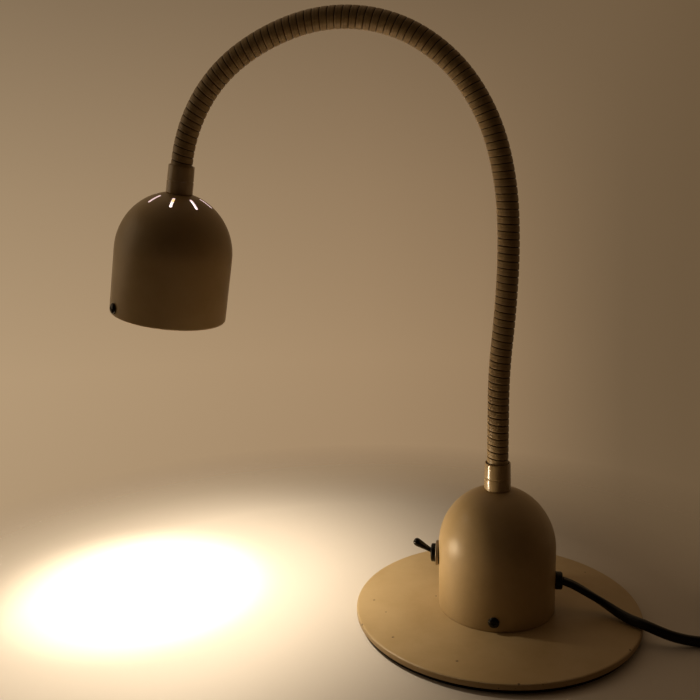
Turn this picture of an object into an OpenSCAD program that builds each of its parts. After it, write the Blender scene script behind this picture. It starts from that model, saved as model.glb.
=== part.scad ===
// Gooseneck desk lamp: round steel foot, transformer dome with toggle switch,
// strip-wound gooseneck and a matching dome shade with a low-voltage spot bulb.
// Origin: centre of the foot's underside, +Z up, switch towards -X, lead towards +X.

/* [Foot] */
// Diameter of the steel foot disc
foot_d = 208; // [190:1:230]
// Thickness of the steel foot disc
foot_t = 4.6; // [3:0.2:8]
// Diameter of the soft pad under the foot
pad_d = 204; // [180:1:206]
// Thickness of the soft pad
pad_t = 3.3; // [1:0.1:5]

/* [Domes] */
// Outer diameter of both dome shells
dome_d = 85; // [84:0.5:90]
// Height of the dome shells from rim to crown
dome_h = 91.2; // [90:0.2:96]
// Height of the straight wall before the crown starts
dome_straight = 46.5; // [45:0.5:47]
// Sheet thickness of the shells
shell_t = 0.9; // [0.6:0.1:1.2]
// Number of vent slots in the shade
vent_count = 8; // [6:1:12]
// Width of one vent slot
vent_w = 2; // [1.5:0.1:3]

/* [Gooseneck] */
// Outer diameter of the gooseneck
neck_d = 15.3; // [15:0.1:15.6]
// Length of each of the twelve neck lengths
neck_step = 44.3; // [42:0.1:46]
// Height of the ferrules
ferrule_h = 20.1; // [19.9:0.1:23]

/* [Switch and lead] */
// Height of the switch axis above the table
switch_z = 46; // [44:0.5:47]
// Angle of the lever above its axis
lever_tilt = 30; // [26:1:30]
// Height of the lead above the table where it leaves the dome
lead_z = 29.2; // [27:0.1:31]
// Width of the lead
lead_d = 7.4; // [6.6:0.1:7.4]

/* [Hidden] */
$fn = 96;
seat_r = 9.8;
foot_top = pad_t + foot_t;
dome_r = dome_d / 2;
crown = dome_h - dome_straight;
seat_h = dome_straight + crown * sqrt(1 - pow(seat_r / dome_r, 2));
neck_r = neck_d / 2;
ball_r = neck_r - 0.15;
cup_r = neck_r + 0.35;
wire_bore = 3;
neck_z = foot_top + seat_h + ferrule_h;
tuck = 15;
// bend of each neck length towards the shade, and sideways, in degrees
bend = [0, -5.5, 3, 5.5, 12, 18.5, 23, 25, 23.5, 18, 24.5, 22];
side = [0, 0, 0, 0, 0, 0, 0, 0, 0, -0.8, -1.6, -2.4];
lean = 183;
screw_z = foot_top + 7.7;
shade_screw_z = 5.6;
plate_z = 20;
// distance of the lever's pivot outside the shell
lever_pivot = 3;

// ---------- the lead's route, centre line ----------
route = [[47.6, 0, 29.2], [54, 0, 27.4], [61, -0.4, 24.2], [68, -1.4, 20.4],
  [75, -3.8, 16.8], [81.5, -8, 14], [87.5, -13.4, 12.4], [94, -19.2, 11.8],
  [101, -24.4, 11.8], [108, -28, 10.6], [115, -29.6, 8.6], [122, -29.8, 6.6],
  [130, -29.2, 4.8], [138, -28.6, 3.9], [147, -28.6, 3.75], [160, -29, 3.75],
  [173, -29.5, 3.75], [186, -30, 3.75], [196, -30.3, 3.75]];
coil_c = [212, 22.2];
coil_out = 52.5;
coil_in = 30;
coil_h = 15;
tail_turn = 86;
// the tail swings out from the coil and comes down to the plug
tail = [for (i = [0:6]) let (a = -30 + tail_turn * i / 6, u = i / 6,
    r = coil_out + 12 * u * u * (1.6 - 0.6 * u))
  [coil_c[0] + r * cos(a), coil_c[1] + r * sin(a), 11.25 - 5.6 * u * u * (3 - 2 * u)]];
tail_last = tail[6];
plug_dir = atan2(tail[6][1] - tail[5][1], tail[6][0] - tail[5][0]);

function unit(v) = v / norm(v);
function cat(p, i, t) = let (n = len(p) - 1,
    a = p[max(i - 1, 0)], b = p[i], c = p[min(i + 1, n)], d = p[min(i + 2, n)])
  0.5 * (2 * b + (c - a) * t + (2 * a - 5 * b + 4 * c - d) * t * t
    + (3 * b - 3 * c + d - a) * t * t * t);
function smooth(p, k) = concat([for (i = [0:len(p) - 2], j = [0:k - 1]) cat(p, i, j / k)],
  [p[len(p) - 1]]);
function tangent(p, i) = unit(p[min(i + 1, len(p) - 1)] - p[max(i - 1, 0)]);
function ring(p, i, r, n, ref) = let (t = tangent(p, i), s = unit(cross(t, ref)), u = cross(t, s))
  [for (k = [0:n - 1]) p[i] + r * (cos(360 * k / n) * s + sin(360 * k / n) * u)];

// a round tube swept along points
module swept(p, r, n, ref = [0, 0, 1]) {
  m = len(p);
  polyhedron(points = [for (i = [0:m - 1]) each ring(p, i, r, n, ref)],
    faces = concat([[for (k = [0:n - 1]) k]],
      [for (i = [0:m - 2], k = [0:n - 1])
        [i * n + k, (i + 1) * n + k, (i + 1) * n + (k + 1) % n, i * n + (k + 1) % n]],
      [[for (k = [n - 1:-1:0]) (m - 1) * n + k]]), convexity = 6);
}

// ---------- neck frame ----------
// each neck length starts at the previous one's end, with +Z along the neck
module step_over(k) {
  a = norm([bend[k], side[k]]);
  r = a == 0 ? 0 : atan2(side[k], bend[k]);
  rr = a == 0 ? 0 : neck_step * 180 / (PI * a);
  if (a == 0) translate([0, 0, neck_step]) children();
  else rotate([0, 0, r]) translate([rr - rr * cos(a), 0, rr * sin(a)])
    rotate([0, a, 0]) rotate([0, 0, -r]) children();
}
module along(k) {
  if (k == 0) translate([0, 0, neck_z]) rotate([0, 0, lean]) children();
  else along(k - 1) step_over(k - 1) children();
}
// hollow tube bent over one length
module bent(k, r0, r1) {
  a = norm([bend[k], side[k]]);
  o = a == 0 ? 0 : atan2(side[k], bend[k]);
  rr = a == 0 ? 0 : neck_step * 180 / (PI * a);
  if (a == 0) difference() {
    cylinder(h = neck_step, r = r1);
    translate([0, 0, -1]) cylinder(h = neck_step + 2, r = r0);
  }
  else rotate([0, 0, o]) translate([rr, 0, 0]) rotate([0, 0, 180]) rotate([90, 0, 0])
    rotate_extrude(angle = a, $fn = 180) translate([rr, 0]) difference() {
      circle(r = r1, $fn = 48);
      circle(r = r0, $fn = 48);
    }
}
// half ball with the wire bore, its flat side 1 mm inside the tube
module ball_end() {
  a = acos((wire_bore + 0.15) / ball_r) / 13;
  rotate_extrude($fn = 64) polygon(concat([[wire_bore + 0.15, -1], [ball_r, -1]],
    [for (i = [0:13]) [ball_r * cos(i * a), ball_r * sin(i * a)]]));
}
// one rigid length: ball at its far end, cup at its near end, wire bore through it
module neck_length(k) {
  color([0.86, 0.79, 0.60]) along(k) {
    if (k == 0) {
      difference() {
        translate([0, 0, -tuck]) cylinder(h = tuck + neck_step, r = neck_r);
        translate([0, 0, -tuck - 1]) cylinder(h = tuck + neck_step + 2, r = wire_bore);
      }
      step_over(k) ball_end();
    } else {
      difference() {
        bent(k, wire_bore, neck_r);
        sphere(r = cup_r);
      }
      if (k < 11) step_over(k) ball_end();
      else step_over(k) difference() {
        translate([0, 0, -0.5]) cylinder(h = tuck + 0.5, r = neck_r - 0.02);
        translate([0, 0, -1]) cylinder(h = tuck + 2, r = wire_bore + 0.15);
      }
    }
  }
}

// ---------- dome shell, rim at z = 0, crown up ----------
function crown_pts(r, h, lo, n) = [for (i = [0:n]) let (a = i * acos(lo / r) / n)
  [r * cos(a), dome_straight + h * sin(a)]];
module shell() {
  in_r = dome_r - shell_t;
  rotate_extrude($fn = 128) polygon(concat(
    [[in_r, 0], [dome_r, 0]],
    crown_pts(dome_r, crown, seat_r, 22),
    [[5.1, seat_h], [5.1, seat_h - shell_t - 0.4]],
    [for (p = [22:-1:0]) crown_pts(in_r, crown - shell_t, seat_r, 22)[p]]));
}
// straight slot with round ends, cut square to the crown
module vent(a) {
  rotate([0, 0, a]) translate([19.8, 0, 86]) rotate([0, 29, 0]) {
    translate([-4.4, 0, -9]) cylinder(h = 18, r = vent_w / 2, $fn = 24);
    translate([4.4, 0, -9]) cylinder(h = 18, r = vent_w / 2, $fn = 24);
    translate([-4.4, -vent_w / 2, -9]) cube([8.8, vent_w, 18]);
  }
}

// ---------- foot ----------
module base_pad() {
  color([0.06, 0.06, 0.06]) cylinder(h = pad_t, d = pad_d, $fn = 128);
}
module base_disc() {
  r = foot_d / 2;
  color([0.86, 0.79, 0.60]) difference() {
    translate([0, 0, pad_t]) rotate_extrude($fn = 160) polygon([[0, 0], [r - 0.5, 0], [r, 0.5],
      [r, foot_t - 1], [r - 0.12, foot_t - 0.6], [r - 0.4, foot_t - 0.25], [r - 0.9, foot_t - 0.06],
      [r - 1.3, foot_t], [0, foot_t]]);
    for (s = [-1, 1]) translate([0, s * 30, foot_top - 3]) cylinder(h = 4, r = 1.75, $fn = 32);
  }
}
module base_dome() {
  color([0.86, 0.79, 0.60]) difference() {
    translate([0, 0, foot_top]) shell();
    translate([-dome_r - 5, 0, switch_z]) rotate([0, 90, 0]) cylinder(h = 12, r = 5.7, $fn = 48);
    translate([dome_r - 6, 0, lead_z]) rotate([0, 90, 0]) cylinder(h = 12, r = 5.4, $fn = 48);
    for (a = [-92, 88]) rotate([0, 0, a]) translate([dome_r - 4, 0, screw_z]) rotate([0, 90, 0])
      cylinder(h = 8, r = 1.7, $fn = 32);
  }
}
module dome_bracket() {
  color([0.62, 0.63, 0.64]) difference() {
    union() {
      intersection() {
        translate([-10, -50, foot_top]) cube([20, 100, 1.5]);
        cylinder(h = 20, r = 41.3);
      }
      intersection() {
        translate([0, 0, foot_top]) difference() {
          cylinder(h = 14, r = 41.3);
          translate([0, 0, -1]) cylinder(h = 16, r = 39.7);
        }
        translate([-10, -50, 0]) cube([20, 100, 60]);
      }
    }
    for (a = [-92, 88]) rotate([0, 0, a]) translate([36, 0, screw_z]) rotate([0, 90, 0])
      cylinder(h = 8, r = 1.52, $fn = 32);
    for (s = [-1, 1]) translate([0, s * 30, foot_top - 1]) cylinder(h = 4, r = 1.8, $fn = 32);
  }
}
// pan-head screw, head underside at z = 0, shank down
module pan_screw(shank_r, shank_l, head_r, head_h) {
  difference() {
    union() {
      translate([0, 0, -shank_l]) cylinder(h = shank_l, r = shank_r, $fn = 32);
      intersection() {
        cylinder(h = head_h, r = head_r, $fn = 48);
        translate([0, 0, head_h - head_r * 1.6]) sphere(r = head_r * 1.6, $fn = 64);
      }
    }
    translate([-head_r * 0.62, -0.35, head_h - 0.8]) cube([head_r * 1.24, 0.7, 2]);
    translate([-0.35, -head_r * 0.62, head_h - 0.8]) cube([0.7, head_r * 1.24, 2]);
  }
}
module dome_screws() {
  color([0.04, 0.04, 0.04]) for (a = [-92, 88]) rotate([0, 0, a])
    translate([dome_r + 0.02, 0, screw_z]) rotate([0, 90, 0]) pan_screw(1.45, 6, 4, 2.4);
}

// ---------- transformer ----------
module transformer_core() {
  color([0.30, 0.30, 0.32]) difference() {
    translate([-12, -24, foot_top + 1.52]) cube([24, 48, 40]);
    for (s = [-1, 1]) translate([-13, s * 12 - 4, foot_top + 9.5]) cube([26, 8, 24]);
    for (s = [-1, 1], z = [foot_top + 5, foot_top + 38]) translate([-13, s * 20.5, z])
      rotate([0, 90, 0]) cylinder(h = 26, r = 1.8, $fn = 32);
  }
}
module transformer_winding() {
  color([0.80, 0.66, 0.25]) translate([0, 0, foot_top + 9.8]) difference() {
    union() {
      translate([-19.5, -15.7, 0]) cube([39, 31.4, 1.4]);
      translate([-19.5, -15.7, 22]) cube([39, 31.4, 1.4]);
      translate([-18, -15, 1]) cube([36, 30, 21.4]);
    }
    translate([-12.3, -8.3, -1]) cube([24.6, 16.6, 26]);
  }
}
module transformer_frame() {
  z0 = foot_top + 1.52;
  color([0.66, 0.66, 0.66]) difference() {
    union() {
      for (s = [-1, 1]) {
        translate([-9, s * 24.8 - 0.5, z0]) cube([18, 1, 41]);
        translate([-9, s * 29.8 - 5.5, z0]) cube([18, 11, 1]);
      }
      translate([-9, -25.3, z0 + 40.05]) cube([18, 50.6, 1]);
    }
    for (s = [-1, 1]) translate([0, s * 30, z0 - 1]) cylinder(h = 4, r = 1.8, $fn = 32);
  }
}
module transformer_screws() {
  color([0.75, 0.75, 0.75]) for (s = [-1, 1]) translate([0, s * 30, foot_top + 2.54])
    pan_screw(1.7, 5.2, 3.2, 2);
}
module terminal_block() {
  color([0.90, 0.90, 0.86]) translate([24, -12, foot_top + 0.05]) difference() {
    cube([10, 24, 9.5]);
    for (i = [0:2]) translate([-1, 4 + 8 * i, 4.5]) rotate([0, 90, 0]) cylinder(h = 12, r = 2, $fn = 32);
    for (i = [0:2]) translate([5, 4 + 8 * i, 5]) cylinder(h = 6, r = 1.9, $fn = 32);
    for (i = [0:1]) translate([-1, 7.4 + 8 * i, 7]) cube([12, 1.2, 4]);
  }
}
module terminal_screws() {
  color([0.80, 0.70, 0.35]) translate([24, -12, foot_top]) for (i = [0:2])
    translate([5, 4 + 8 * i, 6.8]) difference() {
      cylinder(h = 2.2, r = 1.75, $fn = 32);
      translate([-2, -0.3, 1.5]) cube([4, 0.6, 1]);
    }
}
module base_wiring() {
  t = foot_top;
  color([0.45, 0.25, 0.12]) {
    // end of the lead's jacket inside the entry bush
    lead_axis() translate([0, 0, -17.6]) cylinder(h = 22.6, r = lead_d / 2, $fn = 48);
    // lead cores to the terminals
    swept(smooth([[24.4, 1.2, 29.2], [22, 3, 26.5], [21.9, 6, 20], [21.9, 8, 14.8], [23.2, 8, 12.45], [26, 8, 12.45]], 2), 0.9, 8, [0, 1, 0.2]);
    swept(smooth([[24.4, -1.2, 29.2], [22, -2, 26.5], [21.9, -1, 20], [21.9, 0, 14.8], [23.2, 0, 12.45], [26, 0, 12.45]], 2), 0.9, 8, [0, 1, 0.2]);
    // terminals to the switch, round the back of the transformer
    swept(smooth([[33, 8, 12.45], [37, 10, 14], [34.5, 20, 20], [24, 32, 28], [8, 37, 33], [-8, 37, 36], [-22, 31, 40], [-26, 20, 42], [-21.9, 9, 43], [-21.9, 5, 44]], 2), 0.9, 8);
    // low-voltage winding up to the neck
    swept(smooth([[19.2, 8, 34], [21.4, 9, 38], [21.4, 10, 44], [16, 12, 58], [8, 8, 76], [2, 1, 88], [1.2, 0, 98]], 2), 0.9, 8, [0, 1, 0.1]);
    swept(smooth([[-19.2, -8, 34], [-21.4, -9, 38], [-21.4, -10, 44], [-16, -12, 58], [-8, -8, 76], [-2, -1, 88], [-1.2, 0, 98]], 2), 0.9, 8, [0, 1, 0.1]);
  }
}

// ---------- toggle switch, axis along -X ----------
module switch_axis() { translate([-dome_r, 0, switch_z]) rotate([0, -90, 0]) children(); }
module switch_body() {
  color([0.12, 0.12, 0.12]) switch_axis() difference() {
    translate([-9, -7, -19.3]) cube([18, 14, 16.65]);
    translate([-6.5, -4.5, -12]) cube([13, 9, 12]);
  }
}
module switch_terminals() {
  color([0.80, 0.70, 0.35]) switch_axis() for (s = [-1, 1])
    translate([s * 4.5 - 0.4, -2.4, -21.2]) cube([0.8, 4.8, 1.9]);
}
module switch_bushing() {
  color([0.75, 0.75, 0.75]) switch_axis() difference() {
    union() {
      translate([0, 0, -2.6]) cylinder(h = 8.4, r = 5.4, $fn = 64);
      translate([0, 0, -2.6]) cylinder(h = 0.8, r = 7, $fn = 64);
    }
    translate([0, 0, -4]) cylinder(h = 12, r = 4.3, $fn = 64);
    translate([0, -8, lever_pivot]) rotate([-90, 0, 0]) cylinder(h = 16, r = 0.83, $fn = 32);
  }
}
module switch_plate() {
  color([0.70, 0.66, 0.60]) switch_axis() translate([0, 0, 0.1])
    rotate_extrude($fn = 96) polygon([[5.6, 0], [8.8, 0], [9.1, 0.3], [9.1, 1.6], [8.7, 2], [5.6, 2]]);
}
module switch_nut() {
  color([0.04, 0.04, 0.04]) switch_axis() translate([0, 0, 2.2])
    rotate_extrude($fn = 96) polygon([[5.5, 0], [6.4, 0], [6.7, 0.3], [6.7, 2.9], [6.2, 3.4], [5.5, 3.4]]);
}
module switch_lever() {
  color([0.04, 0.04, 0.04]) switch_axis() translate([0, 0, lever_pivot]) rotate([0, lever_tilt, 0])
    rotate_extrude($fn = 64) polygon(concat([[0, -4.6], [1.1, -4.6], [1.1, -2.2]],
      [for (i = [-4:3]) [3 * cos(i * 10), 3 * sin(i * 10)]],
      [[1.75, 3.2], [3, 14.4], [2.96, 15.5], [2.62, 16.4], [2.1, 17.1], [1.3, 17.7], [0, 18]]));
}
module lever_pin() {
  color([0.75, 0.75, 0.75]) switch_axis() translate([0, -5.2, lever_pivot]) rotate([-90, 0, 0])
    cylinder(h = 10.4, r = 0.8, $fn = 32);
}

// ---------- lead entry ----------
module lead_axis() { translate([dome_r, 0, lead_z]) rotate([0, 90, 0]) children(); }
module cord_gland() {
  color([0.04, 0.04, 0.04]) lead_axis() rotate_extrude($fn = 72) polygon([
    [lead_d / 2 + 0.05, -17], [lead_d / 2 + 0.6, -17], [5, -6], [5.2, -3], [5.2, 0.02], [6.5, 0.02],
    [6.5, 3.8], [6.3, 4.6], [5.8, 5.1], [lead_d / 2 + 0.05, 5.1]]);
}
module gland_nut() {
  color([0.10, 0.10, 0.10]) lead_axis() translate([0, 0, -5.1]) difference() {
    cylinder(h = 3, r = 8.6, $fn = 6);
    translate([0, 0, -1]) cylinder(h = 5, r = 5.25, $fn = 64);
  }
}

// ---------- ferrules, shell seat at z = 0 ----------
module ferrule() {
  h = ferrule_h;
  color([0.86, 0.79, 0.60]) rotate_extrude($fn = 96) polygon([[4.95, 0.05], [9.35, 0.05], [9.6, 0.3],
    [9.55, h * 0.42], [9.25, h * 0.44], [9.25, h * 0.47], [9.5, h * 0.49], [9.3, h - 0.4], [9.1, h],
    [neck_r + 0.1, h], [neck_r + 0.1, h - tuck - 0.2], [4.95, h - tuck - 0.2]]);
}
module nipple() {
  color([0.75, 0.75, 0.75]) difference() {
    translate([0, 0, -9]) cylinder(h = 13.6, r = 4.9, $fn = 64);
    translate([0, 0, -10]) cylinder(h = 16, r = 3.4, $fn = 48);
  }
}
module washer() {
  color([0.75, 0.75, 0.75]) translate([0, 0, -2.4]) difference() {
    cylinder(h = 1, r = 8, $fn = 64);
    translate([0, 0, -1]) cylinder(h = 3, r = 5.1, $fn = 64);
  }
}
module nut() {
  color([0.80, 0.70, 0.35]) translate([0, 0, -5.45]) difference() {
    cylinder(h = 3, r = 8, $fn = 6);
    translate([0, 0, -1]) cylinder(h = 5, r = 4.95, $fn = 64);
  }
}
module lower_seat() { translate([0, 0, foot_top + seat_h]) children(); }
// shade frame: rim at z = 0, crown towards the neck
module shade_frame() { along(12) translate([0, 0, ferrule_h + seat_h]) rotate([180, 0, 0]) children(); }
module upper_seat() { shade_frame() translate([0, 0, seat_h]) children(); }

// ---------- shade ----------
module shade_dome() {
  color([0.86, 0.79, 0.60]) shade_frame() difference() {
    shell();
    for (i = [0:vent_count - 1]) vent(8 - 360 / vent_count * i);
    for (a = [-134, 46]) rotate([0, 0, a]) translate([dome_r - 4, 0, shade_screw_z]) rotate([0, 90, 0])
      cylinder(h = 8, r = 1.7, $fn = 32);
  }
}
module shade_screws() {
  color([0.04, 0.04, 0.04]) shade_frame() for (a = [-134, 46]) rotate([0, 0, a])
    translate([dome_r + 0.02, 0, shade_screw_z]) rotate([0, 90, 0]) pan_screw(1.45, 4.6, 4, 2.4);
}
module lamp_carrier() {
  color([0.15, 0.15, 0.15]) shade_frame() difference() {
    rotate_extrude($fn = 96) polygon([[41.4, 1.6], [41.4, plate_z + 1], [22.5, plate_z + 1],
      [22.5, plate_z], [40.5, plate_z], [40.5, 1.6]]);
    for (a = [-134, 46]) rotate([0, 0, a]) translate([36, 0, shade_screw_z]) rotate([0, 90, 0])
      cylinder(h = 8, r = 1.52, $fn = 32);
    for (s = [-1, 1]) translate([0, s * 32.4, plate_z - 1]) cylinder(h = 4, r = 1.4, $fn = 24);
  }
}
module bulb_retainer() {
  color([0.75, 0.75, 0.75]) shade_frame() rotate_extrude($fn = 96) polygon([
    [25.7, plate_z + 1.05], [29, plate_z + 1.05], [29, plate_z + 1.65], [26.4, plate_z + 1.65],
    [26.4, plate_z + 5], [25, plate_z + 5], [25, plate_z + 4.4], [25.7, plate_z + 4.4]]);
}
module bulb_reflector() {
  b = plate_z + 1.1;
  color([0.80, 0.82, 0.90, 0.6]) shade_frame() difference() {
    rotate_extrude($fn = 96) polygon(concat([[23.4, b], [25.3, b], [25.3, b + 3.1], [24.6, b + 3.3]],
      [for (i = [1:9]) let (t = i / 9) [24.6 - 15.8 * pow(t, 1.7), b + 3.3 + 26 * t]],
      [[8.2, b + 30], [8.2, b + 41], [4.9, b + 41], [4.9, b + 28.5]],
      [for (i = [8:-1:1]) let (t = i / 9) [23.4 - 16.5 * pow(t, 1.7), b + 1.6 + 26 * t]]));
  }
}
module bulb_capsule() {
  b = plate_z + 1.1;
  color([0.95, 0.95, 0.95, 0.5]) shade_frame() rotate_extrude($fn = 64) polygon([[0, b + 15], [1.6, b + 15.5],
    [3.2, b + 17], [4.2, b + 19.4], [4.5, b + 22], [4.5, b + 40.9], [0, b + 40.9]]);
}
module bulb_pins() {
  b = plate_z + 1.1;
  color([0.80, 0.80, 0.80]) shade_frame() for (s = [-1, 1])
    translate([s * 2.65, 0, b + 41]) cylinder(h = 6.5, r = 0.75, $fn = 24);
}
module bulb_socket() {
  b = plate_z + 1.1;
  color([0.93, 0.91, 0.86]) shade_frame() difference() {
    translate([-9, -5.5, b + 41.3]) cube([18, 11, 9.5]);
    for (s = [-1, 1]) translate([s * 2.65, 0, b + 40]) cylinder(h = 12, r = 0.95, $fn = 24);
    translate([7, 0, b + 44]) cylinder(h = 8, r = 1.2, $fn = 24);
  }
}
module socket_strap() {
  b = plate_z + 1.05;
  color([0.70, 0.70, 0.70]) shade_frame() difference() {
    union() {
      for (s = [-1, 1]) {
        translate([-4, s * 29.4 - 0.4, b]) cube([8, 0.8, 52]);
        translate([-4, s * 32.1 - 2.9, b]) cube([8, 5.8, 0.8]);
      }
      translate([-4, -29.8, b + 51.2]) cube([17, 59.6, 0.8]);
    }
    for (s = [-1, 1]) translate([s * 2.65, 0, b + 50]) cylinder(h = 4, r = 1.5, $fn = 24);
    translate([7, 0, b + 50]) cylinder(h = 4, r = 1.4, $fn = 24);
    for (s = [-1, 1]) translate([0, s * 32.4, b - 1]) cylinder(h = 4, r = 1.4, $fn = 24);
    for (s = [-1, 1]) translate([5, s * 22 - 8, b + 50]) cube([9, 16, 4]);
  }
}
module strap_rivets() {
  color([0.75, 0.75, 0.75]) shade_frame() for (s = [-1, 1]) translate([0, s * 32.4, 0])
    rotate_extrude($fn = 48) polygon([[0, plate_z - 0.9], [1.6, plate_z - 0.75], [2.3, plate_z - 0.02],
      [1.35, plate_z - 0.02], [1.35, plate_z + 1.87], [2.2, plate_z + 1.87], [1.5, plate_z + 2.5],
      [0, plate_z + 2.6]]);
}
module socket_screw() {
  b = plate_z + 1.1;
  color([0.75, 0.75, 0.75]) shade_frame() translate([7, 0, b + 52]) pan_screw(1.15, 7, 2.2, 1.5);
}
module shade_wiring() {
  b = plate_z + 1.1;
  color([0.85, 0.83, 0.78]) shade_frame() for (s = [-1, 1])
    swept(smooth([[s * 2.65, 0, b + 48.6], [s * 2.65, 0, b + 54], [s * 2.3, s * 0.9, b + 57],
      [s * 1.5, s * 0.7, b + 60], [s * 1.3, s * 0.2, b + 66], [s * 1.3, 0, b + 72]], 2), 0.85, 8, [0, 1, 0]);
}

// ---------- lead and plug ----------
module cord_lead() {
  color([0.03, 0.03, 0.03]) swept(route, lead_d / 2, 12);
}
module cord_coil() {
  r = lead_d / 2;
  color([0.03, 0.03, 0.03]) translate([coil_c[0], coil_c[1], 0]) rotate_extrude($fn = 96)
    polygon([[coil_in - r + 1, 0.05], [coil_out + r - 1, 0.05], [coil_out + r, 1.2], [coil_out + r, coil_h - 1.2],
      [coil_out + r - 1, coil_h], [coil_in - r + 1, coil_h], [coil_in - r, coil_h - 1.2], [coil_in - r, 1.2]]);
}
module cord_tail() {
  color([0.03, 0.03, 0.03]) swept(smooth([for (i = [1:6]) tail[i]], 2), lead_d / 2, 12);
}
module cord_tie() {
  color([0.05, 0.05, 0.05]) translate([coil_c[0], coil_c[1], 0]) rotate([0, 0, 150]) {
    difference() {
      translate([coil_in - 4.6, -5, 0]) cube([coil_out - coil_in + 9.2, 10, coil_h + 1]);
      translate([coil_in - 3.6, -6, 0.6]) cube([coil_out - coil_in + 7.2, 12, coil_h - 0.5]);
    }
    translate([coil_in + 4, -2.2, coil_h + 1]) cube([9, 4.4, 1.2]);
  }
}
module plug_place() {
  translate(tail_last) rotate([0, 0, plug_dir]) children();
}
module plug_body() {
  color([0.03, 0.03, 0.03]) plug_place() {
    rotate([0, 90, 0]) cylinder(h = 12, r1 = 3.7, r2 = 5, $fn = 48);
    hull() {
      translate([11, 0, 0]) rotate([0, 90, 0]) cylinder(h = 2, r = 5.2, $fn = 32);
      for (s = [-1, 1]) translate([19, s * 9.5, 0]) rotate([0, 90, 0]) cylinder(h = 12, r = 5.6, $fn = 32);
      for (s = [-1, 1]) translate([34, s * 9.3, 0]) rotate([0, 90, 0]) cylinder(h = 1.5, r = 4.6, $fn = 32);
    }
  }
}
module plug_pins() {
  color([0.75, 0.75, 0.72]) plug_place() for (s = [-1, 1]) translate([33, s * 9.3, 0]) rotate([0, 90, 0]) {
    cylinder(h = 20, r = 2, $fn = 32);
    translate([0, 0, 20]) intersection() {
      sphere(r = 2, $fn = 32);
      translate([-3, -3, -1]) cube([6, 6, 3]);
    }
  }
}

base_pad();
base_disc();
base_dome();
dome_bracket();
dome_screws();
transformer_core();
transformer_winding();
transformer_frame();
transformer_screws();
terminal_block();
terminal_screws();
base_wiring();
switch_body();
switch_terminals();
switch_bushing();
switch_plate();
switch_nut();
switch_lever();
lever_pin();
cord_gland();
gland_nut();
lower_seat() ferrule();  // ferrule_lower
lower_seat() nipple();  // nipple_lower
lower_seat() washer();  // washer_lower
lower_seat() nut();  // nut_lower
neck_length(0);  // neck_01
neck_length(1);  // neck_02
neck_length(2);  // neck_03
neck_length(3);  // neck_04
neck_length(4);  // neck_05
neck_length(5);  // neck_06
neck_length(6);  // neck_07
neck_length(7);  // neck_08
neck_length(8);  // neck_09
neck_length(9);  // neck_10
neck_length(10);  // neck_11
neck_length(11);  // neck_12
upper_seat() ferrule();  // ferrule_upper
upper_seat() nipple();  // nipple_upper
upper_seat() washer();  // washer_upper
upper_seat() nut();  // nut_upper
shade_dome();
shade_screws();
lamp_carrier();
bulb_retainer();
bulb_reflector();
bulb_capsule();
bulb_pins();
bulb_socket();
socket_strap();
strap_rivets();
socket_screw();
shade_wiring();
cord_lead();
cord_coil();
cord_tail();
cord_tie();
plug_body();
plug_pins();
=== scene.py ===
import bpy, bmesh, math
from mathutils import Vector, Matrix


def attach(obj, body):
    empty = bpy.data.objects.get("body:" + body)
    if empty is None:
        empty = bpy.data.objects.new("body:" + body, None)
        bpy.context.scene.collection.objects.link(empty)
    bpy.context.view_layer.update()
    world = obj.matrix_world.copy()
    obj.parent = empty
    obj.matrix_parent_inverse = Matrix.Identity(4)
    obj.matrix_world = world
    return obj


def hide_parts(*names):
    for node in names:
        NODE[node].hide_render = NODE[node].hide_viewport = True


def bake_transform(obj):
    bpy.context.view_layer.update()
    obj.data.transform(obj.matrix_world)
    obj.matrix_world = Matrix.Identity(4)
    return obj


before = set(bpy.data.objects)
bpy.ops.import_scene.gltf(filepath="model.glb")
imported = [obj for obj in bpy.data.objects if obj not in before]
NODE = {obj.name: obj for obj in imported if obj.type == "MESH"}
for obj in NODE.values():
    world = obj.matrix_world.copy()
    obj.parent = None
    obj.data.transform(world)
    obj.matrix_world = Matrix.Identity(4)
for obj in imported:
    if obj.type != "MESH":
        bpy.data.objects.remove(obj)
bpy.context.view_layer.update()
MM = 0.001
PI = math.pi

# ---------------------------------------------------------------- camera
yaw, pitch, roll = 0.179415, 0.191710, -0.023331
fwd = Vector((-math.sin(yaw) * math.cos(pitch), math.cos(yaw) * math.cos(pitch), -math.sin(pitch)))
right = Vector((math.cos(yaw), math.sin(yaw), 0))
up = right.cross(fwd)
r2 = math.cos(roll) * right + math.sin(roll) * up
u2 = -math.sin(roll) * right + math.cos(roll) * up
cam = bpy.data.objects.new("camera", bpy.data.cameras.new("camera"))
bpy.context.scene.collection.objects.link(cam)
cam.matrix_world = Matrix(((r2.x, u2.x, -fwd.x, 0), (r2.y, u2.y, -fwd.y, -0.58646),
                           (r2.z, u2.z, -fwd.z, 0.31509), (0, 0, 0, 1)))
cam.data.sensor_width = 36
cam.data.lens = 837.2 / 700 * 36
cam.data.clip_start = 0.02
bpy.context.scene.camera = cam


# ---------------------------------------------------------------- node helpers
def material(name):
    m = bpy.data.materials.new(name)
    m.use_nodes = True
    nt = m.node_tree
    nt.nodes.clear()
    out = nt.nodes.new("ShaderNodeOutputMaterial")
    p = nt.nodes.new("ShaderNodeBsdfPrincipled")
    nt.links.new(p.outputs[0], out.inputs[0])
    return m, nt, p


def node(nt, kind, **values):
    n = nt.nodes.new(kind)
    for k, v in values.items():
        if k in n.inputs:
            n.inputs[k].default_value = v
        else:
            setattr(n, k, v)
    return n


def math_node(nt, op, a, b=None, clamp=False):
    n = nt.nodes.new("ShaderNodeMath")
    n.operation = op
    n.use_clamp = clamp
    for i, v in enumerate([a, b]):
        if v is None:
            continue
        if isinstance(v, (int, float)):
            n.inputs[i].default_value = v
        else:
            nt.links.new(v, n.inputs[i])
    return n.outputs[0]


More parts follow.
